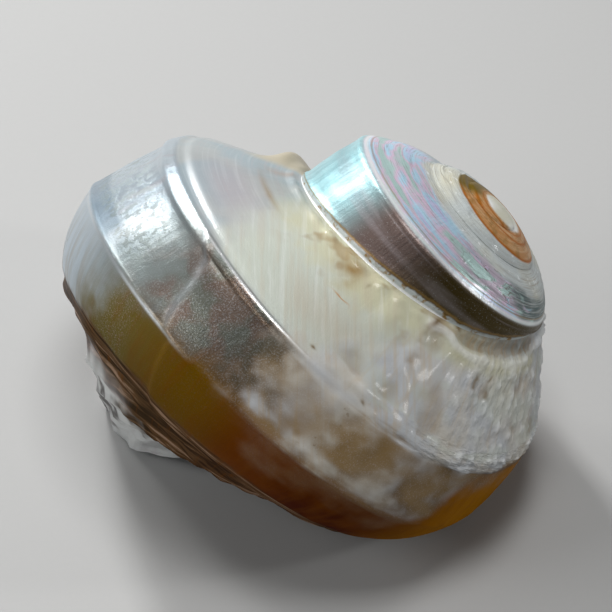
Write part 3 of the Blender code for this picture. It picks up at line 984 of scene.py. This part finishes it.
def wrinkled_base(wall, colours):
    """Tan rind in wrinkles, with painted shade in their gaps, and the glossy white foot of the lip behind,
    with a painted shadow in the hollow beside it.
    """
    broad = wall.broad - 0.5
    foot = (wall.number + broad * 0.5).rise(4.02, 4.20)
    foot = foot * (wall.turn + broad * 0.12 + (wall.drifts - 0.5) * 0.16).rise(0.15, 0.07)
    foot_skin = layered(
        (wall.spiral_lines.rise(0.5, 0.66) * 0.6).over(colours.foot, colours.lilac),
        # painted shadow: a dark line for the hollow beside the foot
        (wall.wavy_number.swell(4.45, 0.08) * 0.85, colours.rind_gap_shade),
    )
    return layered(
        wall.wrinkles.rise(0.40, 0.54).over(colours.rind_gap_shade, colours.rind),
        (wall.wrinkles.rise(0.54, 0.66) * 0.8, colours.rind_pale),
        (wall.growth_lines.rise(0.55, 0.7) * 0.4, colours.amber_streak),
        (foot, foot_skin),
    )


def skin_colour(wall, colours):
    """All the colours of the wall, each laid where it grew or wore through, with painted highlights on the
    keels and the shoulder cord and painted shade under the keel, on the blue grey band and in the hollow by
    the suture.
    """
    turn, number, last, older, side = wall.turn, wall.number, wall.last, wall.older, wall.side
    amber, cream, ring = amber_layers(wall, colours), cream_ramp(wall, colours), apex_ring(wall, colours)
    chalk = chalk_clouds(wall, colours, cream, amber)
    old_lip_edge = wall.from_old_lip.swell(-0.002, 0.0035) * side * last * number.rise(3.7, 3.2)
    # painted highlight: a silver line along the shoulder cord
    cord_highlight = number.swell(2.90, 0.08) * turn.rise(0.20, 0.15) * last
    # painted highlight: a thin bright line along the crest of the newest keel
    keel_crest_highlight = number.swell(1.63, 0.035) * turn.within(0.12, 0.15, 0.24, 0.26) * last
    keel_shade = number.swell(1.86, 0.11) * turn.rise(0.12, 0.16) * last
    lump_skin = last * turn.within(-0.15, -0.10, -0.03, 0.0) * number.rise(0.75, 0.45)
    # painted shade: the hollow by the suture is painted darker smoke grey, over real growth-line streaks
    ledge = (number + (wall.patchy - 0.5) * 0.1).rise(0.19, 0.12) * turn.within(0.315, 0.345, 0.45, 0.48)
    ledge_shade_skin = wall.growth_lines.rise(0.3, 0.7).over(colours.smoke, colours.chalk_tan)
    # the pale keel line of the older whorls, brightened further as a painted highlight
    older_keel_pale_and_highlight = older * number.swell(1.50, 0.09) * turn.rise(1.9, 1.7)
    stains = [
        (turn.swell(place, wide) * wall.wavy_number.swell(row, high) * last * depth, getattr(colours, hue))
        for place, row, wide, high, depth, hue in STAINS
    ]
    return layered(
        silver_nacre(wall, colours),
        (wall.dusky, dusky_nacre(wall, colours)),
        (old_lip_edge * 0.4, colours.silver),
        (wall.amber, amber),
        (cord_highlight * 0.8, colours.silver),
        (keel_crest_highlight * 0.9, colours.bright),
        (keel_shade * 0.7, colours.umber),
        (wall.cream, cream),
        (lump_skin, colours.lump),
        (wall.chalk, chalk),
        (last * ledge * 0.55, ledge_shade_skin),
        (older * side, older_side(wall, colours)),
        (older * wall.ramp, spire_ramp(wall, colours, ring)),
        (older_keel_pale_and_highlight * 0.8, colours.bright),
        (older * wall.from_axis.rise(1.55, 1.42) * side, ring),
        (older * wall.lens_reach.rise(1.02, 0.97), worn_apex(wall, colours)),
        (last * wall.base * 0.92, wrinkled_base(wall, colours)),
        *stains,
    )


def metal_share(wall):
    """How far the nacre shines as metal does; amber, chalk, cream and rind don't."""
    metal = 0.66 - 0.42 * wall.ramp * wall.last - 0.30 * wall.ramp * wall.older
    metal = metal * (1.0 - wall.amber * 0.95) * (1.0 - wall.chalk) * (1.0 - wall.cream * 0.8)
    metal = metal * (1.0 - wall.base * 0.7 * wall.last) * (1.0 - wall.older * wall.round_apex)
    return metal * (1.0 - wall.selvage * wall.older * 0.8)


def roughness(wall, plain_cream):
    rough = 0.27 + 0.20 * wall.dust * wall.patchy + 0.10 * wall.older * wall.side + 0.36 * wall.chalk
    rough = rough + 0.12 * plain_cream + 0.10 * wall.base + 0.12 * wall.older * wall.round_apex
    return rough + 0.25 * wall.blotches + 0.15 * wall.pits + 0.12 * wall.steel_shade


def gloss_coat(wall):
    coat = (0.34 - 0.26 * wall.chalk) * (1.0 - wall.amber * 0.85) * (1.0 - wall.base * wall.last * 0.8)
    return coat * (1.0 - 0.5 * wall.older * wall.side * wall.turn.rise(1.15, 1.25))


def fine_relief(wall, plain_cream):
    """Growth lines, grain, knobs and wrinkles too fine for the mesh."""
    knobs = wall.along(190.0, 11.0, 6.0, 2.0) * wall.turn.rise(0.30, 0.38) * wall.number.rise(2.1, 1.6)
    height = 0.26 * wall.growth_lines * (1.0 - 0.7 * wall.chalk - 0.7 * plain_cream) + 0.07 * wall.grain
    height = height + 0.10 * (wall.layer_lines * wall.older * wall.ramp)
    height = height + wall.chalk * (0.9 * knobs + 0.4 * wall.patchy) + wall.base * 0.9 * wall.wrinkles
    height = height + 0.16 * wall.cream * wall.brushed + 0.14 * wall.spiral_lines * (1.0 - wall.chalk)
    return height + 0.05 * wall.blotches


def outside_material(name, colours):
    """Satin nacre, hard gloss on the amber, and dull chalk."""
    material, bsdf, start = blank_material(name)
    wall = Wall(start)
    plain_cream = wall.cream * (1.0 - wall.chalk)
    height = fine_relief(wall, plain_cream)
    finish(
        bsdf, Base_Color=skin_colour(wall, colours), Metallic=metal_share(wall),
        Roughness=roughness(wall, plain_cream), Coat_Weight=gloss_coat(wall), Coat_Roughness=0.14,
        IOR=1.45, Specular_IOR_Level=0.0,
        Normal=start.node("ShaderNodeBump", {"Strength": 0.5, "Distance": 0.001, "Height": height}),
    )
    return material


def inside_material(name, colours):
    """The pearl of the room behind the lip."""
    material, bsdf, start = blank_material(name)
    place = object_place(start)
    broad, fine = place.cloud(60.0, 4.0), place.cloud(400.0, 3.0)
    pearl = broad.rise(0.35, 0.65).over(colours.silver, colours.rainbow_green)
    pearl = (fine.rise(0.5, 0.7) * 0.3).over(pearl, colours.rainbow_pink)
    normal = start.node("ShaderNodeBump", {"Strength": 0.3, "Distance": 0.001, "Height": broad + 0.1 * fine})
    finish(bsdf, Base_Color=pearl, Metallic=0.5 + 0.2 * broad, Roughness=0.18 + 0.15 * fine, Normal=normal,
           Coat_Weight=0.4, Coat_Roughness=0.1)
    return material


def floor_material(name, colour):
    material, bsdf, start = blank_material(name)
    paper = object_place(start).cloud(900.0, 3.0)
    shade = [0.96 * part for part in colour]
    finish(bsdf, Base_Color=(paper * 0.5).over(colour, shade), Roughness=0.75 + 0.1 * paper)
    return material


def colour_setting(name, description, colour):
    return bpy.props.FloatVectorProperty(
        name=name, description=description, default=colour, size=3, subtype="COLOR",
    )


def height_setting(name, description, height):
    return bpy.props.FloatProperty(name=name, description=description, default=height, unit="LENGTH")


class ShellColours(bpy.types.PropertyGroup):
    silver: colour_setting("Silver", "Palest nacre", (0.50, 0.54, 0.56))
    blue_silver: colour_setting("Blue silver", "Cooler patches of the nacre", (0.36, 0.46, 0.54))
    lilac: colour_setting("Lilac", "Faint streaks of the nacre", (0.46, 0.42, 0.44))
    # lightest flecks and knobs, and also the painted highlights on the keels and the ramp
    bright: colour_setting("Bright", "Lightest flecks and knobs", (0.8, 0.82, 0.83))
    pit: colour_setting("Pits", "Brown of the pits", (0.16, 0.11, 0.05))
    graphite: colour_setting("Graphite", "Dark nacre", (0.14, 0.145, 0.12))
    plum: colour_setting("Plum", "Purple of the dark nacre", (0.15, 0.11, 0.088))
    olive: colour_setting("Olive", "Green brown under the nacre", (0.12, 0.092, 0.022))
    amber_brown: colour_setting("Amber brown", "Brown of the side", (0.125, 0.03, 0.0003))
    red_brown: colour_setting("Red brown", "Deepest brown by the base", (0.045, 0.002, 0.0003))
    amber: colour_setting("Amber", "Clearer amber on the right", (0.3, 0.12, 0.001))
    amber_streak: colour_setting("Amber streaks", "Growth lines in the amber", (0.15, 0.045, 0.001))
    chalk: colour_setting("Chalk", "White worn patch", (0.455, 0.47, 0.485))
    chalk_tan: colour_setting("Chalk tan", "Brown showing through the white", (0.215, 0.135, 0.05))
    cream: colour_setting("Cream", "Ramp by the suture", (0.52, 0.5, 0.33))
    cream_pink: colour_setting("Cream pink", "Streaks of the ramp", (0.46, 0.39, 0.3))
    cream_tan: colour_setting("Cream tan", "Tan patches of the ramp", (0.27, 0.17, 0.06))
    lump: colour_setting("Lump", "Knob by the suture", (0.5, 0.45, 0.34))
    # pale blue green nacre, painted paler where the highlight falls
    sea_white_and_highlight: colour_setting("Sea white", "Pale side of the older whorl", (0.4, 0.66, 0.7))
    sea_shade: colour_setting("Sea shade", "Deeper blue green of the older whorl", (0.22, 0.40, 0.44))
    dark_silver: colour_setting("Dark silver", "Graphite of the older whorl", (0.13, 0.095, 0.085))
    olive_silver: colour_setting("Olive silver", "Olive of the older whorl", (0.06, 0.042, 0.012))
    selvage: colour_setting("Selvage", "Pale edge at the suture", (0.46, 0.5, 0.5))
    rainbow_pink: colour_setting("Rainbow pink", "Pink of the ramp's nacre", (0.68, 0.52, 0.66))
    rainbow_violet: colour_setting("Rainbow violet", "Violet of the ramp's nacre", (0.52, 0.56, 0.78))
    rainbow_blue: colour_setting("Rainbow blue", "Blue of the ramp's nacre", (0.44, 0.68, 0.82))
    rainbow_green: colour_setting("Rainbow green", "Green of the ramp's nacre", (0.44, 0.6, 0.58))
    layer_edge: colour_setting("Layer edges", "Dark lines of torn layers", (0.20, 0.18, 0.17))
    teal: colour_setting("Teal", "Grey layers of the ramp", (0.08, 0.12, 0.12))
    ring: colour_setting("Ring", "Cream round the apex", (0.54, 0.53, 0.43))
    lens: colour_setting("Lens", "Orange of the worn apex", (0.42, 0.21, 0.08))
    lens_pale: colour_setting("Pale lens", "Paler orange of the worn apex", (0.50, 0.31, 0.16))
    lens_rim: colour_setting("Lens rim", "Darker rims of the worn apex", (0.34, 0.11, 0.015))
    ramp_silver: colour_setting("Ramp silver", "Pale nacre of the last ramp", (0.4, 0.43, 0.43))
    ramp_blue: colour_setting("Ramp blue", "Cooler nacre of the last ramp", (0.34, 0.41, 0.44))
    # blue grey of the band above the shoulder cord, darkened as painted shade
    steel_shade: colour_setting("Steel", "Blue grey band above the shoulder cord", (0.17, 0.225, 0.275))
    smoke: colour_setting("Smoke", "Green grey between silver and olive", (0.22, 0.25, 0.23))
    umber: colour_setting("Umber", "Shade under the keel", (0.050, 0.030, 0.015))
    brown: colour_setting("Brown", "Brown of the dark nacre", (0.135, 0.08, 0.028))
    olive_amber: colour_setting("Olive amber", "Yellow brown of the side", (0.125, 0.062, 0.001))
    grey_cream: colour_setting("Grey cream", "Paler part of the ramp", (0.48, 0.51, 0.45))
    warm_chalk: colour_setting("Warm chalk", "Warmer parts of the white patch", (0.5, 0.475, 0.42))
    flake: colour_setting("Flakes", "Pink white torn flakes", (0.52, 0.46, 0.54))
    grey_edge: colour_setting("Grey edge", "Duller nacre below the shoulder", (0.27, 0.26, 0.24))
    foot: colour_setting("Foot", "Glossy white of the lip behind", (0.62, 0.63, 0.62))
    lens_olive: colour_setting("Olive lens", "Olive side of the worn apex", (0.13, 0.085, 0.012))
    rind: colour_setting("Rind", "Tan of the wrinkled base", (0.11, 0.06, 0.03))
    rind_pale: colour_setting("Pale rind", "Pinkish crests of the wrinkled base", (0.38, 0.25, 0.17))
    # painted shade for the gaps of the wrinkles and the hollow beside the foot
    rind_gap_shade: colour_setting("Dark rind", "Gaps of the wrinkled base", (0.035, 0.02, 0.012))


class ShellSettings(bpy.types.PropertyGroup):
    keel_ridge: height_setting("Keel ridge", "Height of the ridge along the keel", 0.0006)
    side_cord: height_setting("Side cord", "Height of the cord on the shoulder below", 0.0004)
    base_cord: height_setting("Base cords", "Height of the wrinkled cords of the base", 0.0005)
    chalk_lump: height_setting("Chalk lumps", "Height of the lumps of the white patch", 0.0005)
    suture_edge: height_setting("Suture edge", "Height of the thick edge at the suture", 0.0007)
    torn_layer: height_setting("Torn layers", "Height of the torn layers of the spire", 0.0003)
    growth_step: height_setting("Growth step", "Height of the old lip on the side", 0.0004)


class StageSettings(bpy.types.PropertyGroup):
    floor_colour: colour_setting("Floor", "Colour of the floor", (0.40, 0.40, 0.395))
    elevation: bpy.props.FloatProperty(
        name="Camera height", description="Angle above the horizon", subtype="ANGLE",
        default=math.radians(42),
    )
    lens: bpy.props.FloatProperty(name="Lens", description="Focal length in millimetres", default=200.0)
    room_light: bpy.props.FloatProperty(
        name="Room light", description="Strength of the light all round", default=0.05,
    )
    lamp_power: bpy.props.FloatProperty(
        name="Lamp power", description="Share of every lamp's full power", default=0.60,
    )


class SHELL_OT_grow(bpy.types.Operator):
    """Grow the shell's surface in place of its plain solid"""

    bl_idname = "shell.grow"
    bl_label = "Grow the shell"

    def execute(self, context):
        mesh = grow_shell(context.scene.turban_shell)
        shell = bpy.data.objects.new("shell_surface", mesh)
        context.scene.collection.objects.link(shell)
        colours = context.scene.turban_colours
        mesh.materials.append(outside_material("shell_outside", colours))
        mesh.materials.append(inside_material("shell_inside", colours))
        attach(shell, "root")
        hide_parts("shell")
        return {"FINISHED"}


PHOTO_PIXELS, PIXEL_SIZE = 612, 0.00018
FRAME_WIDTH = PHOTO_PIXELS * PIXEL_SIZE                 # at the shell
FRAME_CENTRE = Vector((0.0006, 0.0, 0.03275))
SENSOR = 36.0                          # millimetres
NEAREST, FURTHEST = 0.01, 10.0
FLOOR_HALF_WIDTH = 2.0
SKY = (0.95, 0.97, 1.0, 1.0)
LIT_POINT = (0.0, 0.0, 0.03)


def add_camera(scene, settings):
    data = bpy.data.cameras.new("camera")
    data.lens, data.sensor_width = settings.lens, SENSOR
    camera = bpy.data.objects.new("camera", data)
    scene.collection.objects.link(camera)
    back = Vector((0.0, -math.cos(settings.elevation), math.sin(settings.elevation)))
    camera.location = FRAME_CENTRE + back * (FRAME_WIDTH * settings.lens / SENSOR)
    camera.rotation_euler = (-back).to_track_quat("-Z", "Y").to_euler()
    data.clip_start, data.clip_end = NEAREST, FURTHEST
    scene.camera = camera


def add_light(scene, name, place, size, power):
    data = bpy.data.lights.new(name, "AREA")
    data.shape, data.size, data.size_y, data.energy = "RECTANGLE", *size, power
    light = bpy.data.objects.new(name, data)
    light.location = place
    light.rotation_euler = (Vector(LIT_POINT) - Vector(place)).to_track_quat("-Z", "Y").to_euler()
    scene.collection.objects.link(light)


LIGHTS = (                             # name, place, width and height, watts at full power
    ("window", (-0.19, 0.40, 0.42), (0.075, 0.30), 4.6),
    ("low window", (-0.363, 0.351, 0.317), (0.07, 0.20), 1.1),
    ("overhead", (0.02, -0.10, 0.60), (0.20, 0.20), 3.0),
    ("left", (-0.45, -0.15, 0.32), (0.25, 0.25), 1.8),
    ("right", (0.50, -0.10, 0.24), (0.05, 0.05), 0.9),
)


class SHELL_OT_stage(bpy.types.Operator):
    """Add the floor, the lights and the camera"""

    bl_idname = "shell.stage"
    bl_label = "Add the stage"

    def execute(self, context):
        scene = context.scene
        settings = scene.turban_stage
        bm = bmesh.new()
        bmesh.ops.create_grid(bm, x_segments=1, y_segments=1, size=FLOOR_HALF_WIDTH)
        mesh = bpy.data.meshes.new("floor")
        bm.to_mesh(mesh)
        bm.free()
        floor = bpy.data.objects.new("floor", mesh)
        scene.collection.objects.link(floor)
        mesh.materials.append(floor_material("floor", settings.floor_colour))
        world = bpy.data.worlds.new("studio")
        world.use_nodes = True
        background = world.node_tree.nodes["Background"]
        background.inputs["Color"].default_value = SKY
        background.inputs["Strength"].default_value = settings.room_light
        scene.world = world
        scene.view_settings.view_transform = "Standard"
        for name, place, size, power in LIGHTS:
            add_light(scene, name, place, size, power * settings.lamp_power)
        add_camera(scene, settings)
        return {"FINISHED"}


class SHELL_PT_panel(bpy.types.Panel):
    """Buttons for the shell and its stage"""

    bl_idname = "SHELL_PT_panel"
    bl_label = "Turban shell"
    bl_space_type = "VIEW_3D"
    bl_region_type = "UI"
    bl_category = "Shell"

    def draw(self, context):
        for operator in (SHELL_OT_grow, SHELL_OT_stage):
            self.layout.operator(operator.bl_idname)


CLASSES = (ShellColours, ShellSettings, StageSettings, SHELL_OT_grow, SHELL_OT_stage, SHELL_PT_panel)


def register():
    for item in CLASSES:
        bpy.utils.register_class(item)
    bpy.types.Scene.turban_shell = bpy.props.PointerProperty(type=ShellSettings)
    bpy.types.Scene.turban_colours = bpy.props.PointerProperty(type=ShellColours)
    bpy.types.Scene.turban_stage = bpy.props.PointerProperty(type=StageSettings)


def unregister():
    del bpy.types.Scene.turban_stage
    del bpy.types.Scene.turban_colours
    del bpy.types.Scene.turban_shell
    for item in reversed(CLASSES):
        bpy.utils.unregister_class(item)


def main():
    register()
    bpy.ops.shell.grow()
    bpy.ops.shell.stage()


if __name__ == "__main__":
    main()
